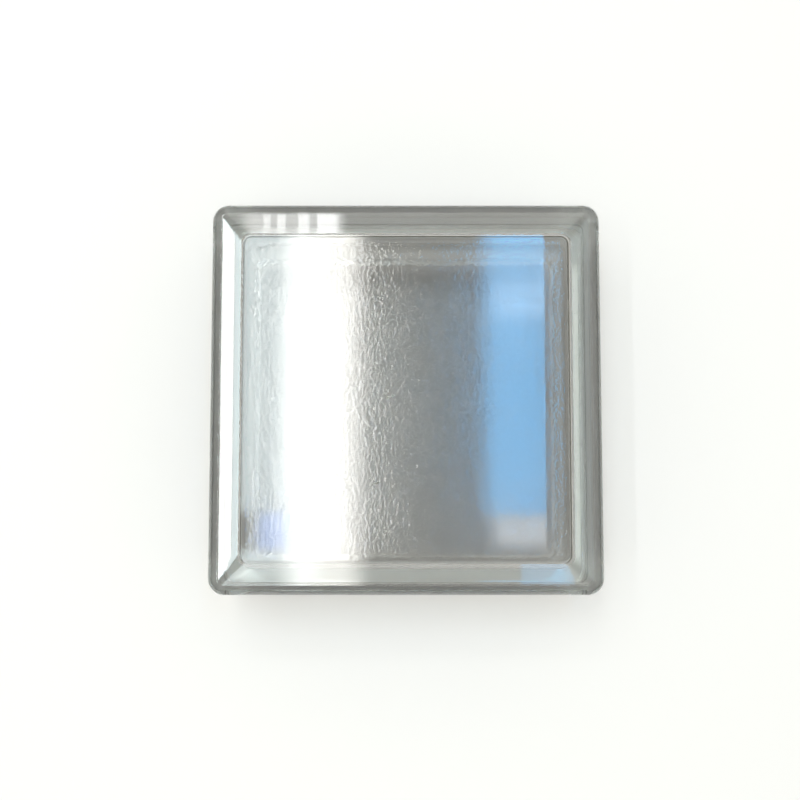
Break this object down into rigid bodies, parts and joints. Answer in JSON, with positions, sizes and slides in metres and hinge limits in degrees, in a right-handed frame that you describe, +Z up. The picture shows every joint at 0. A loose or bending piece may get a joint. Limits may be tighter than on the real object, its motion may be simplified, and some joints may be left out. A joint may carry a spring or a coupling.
{
  "type": "glass block",
  "caption": "Square hollow glass block with flat flush faces, rounded face edges and a mortar groove round its sides, for walls and partitions that let light through.",
  "frame": {"origin": "centre of the rear face, on the surface that the block lies on", "axes": "+Z up through the thickness, out of the front face; +Y towards the side that is on top in the picture; +X to the right of the front face"},
  "size_m": [0.19, 0.19, 0.08],
  "materials": {
    "clear_glass": "clear pressed glass, fire-polished and smooth at the edges, finely stippled on the inside of the faces"
  },
  "bodies": {
    "root": {"glass_block": "clear_glass"}
  },
  "joints": []
}
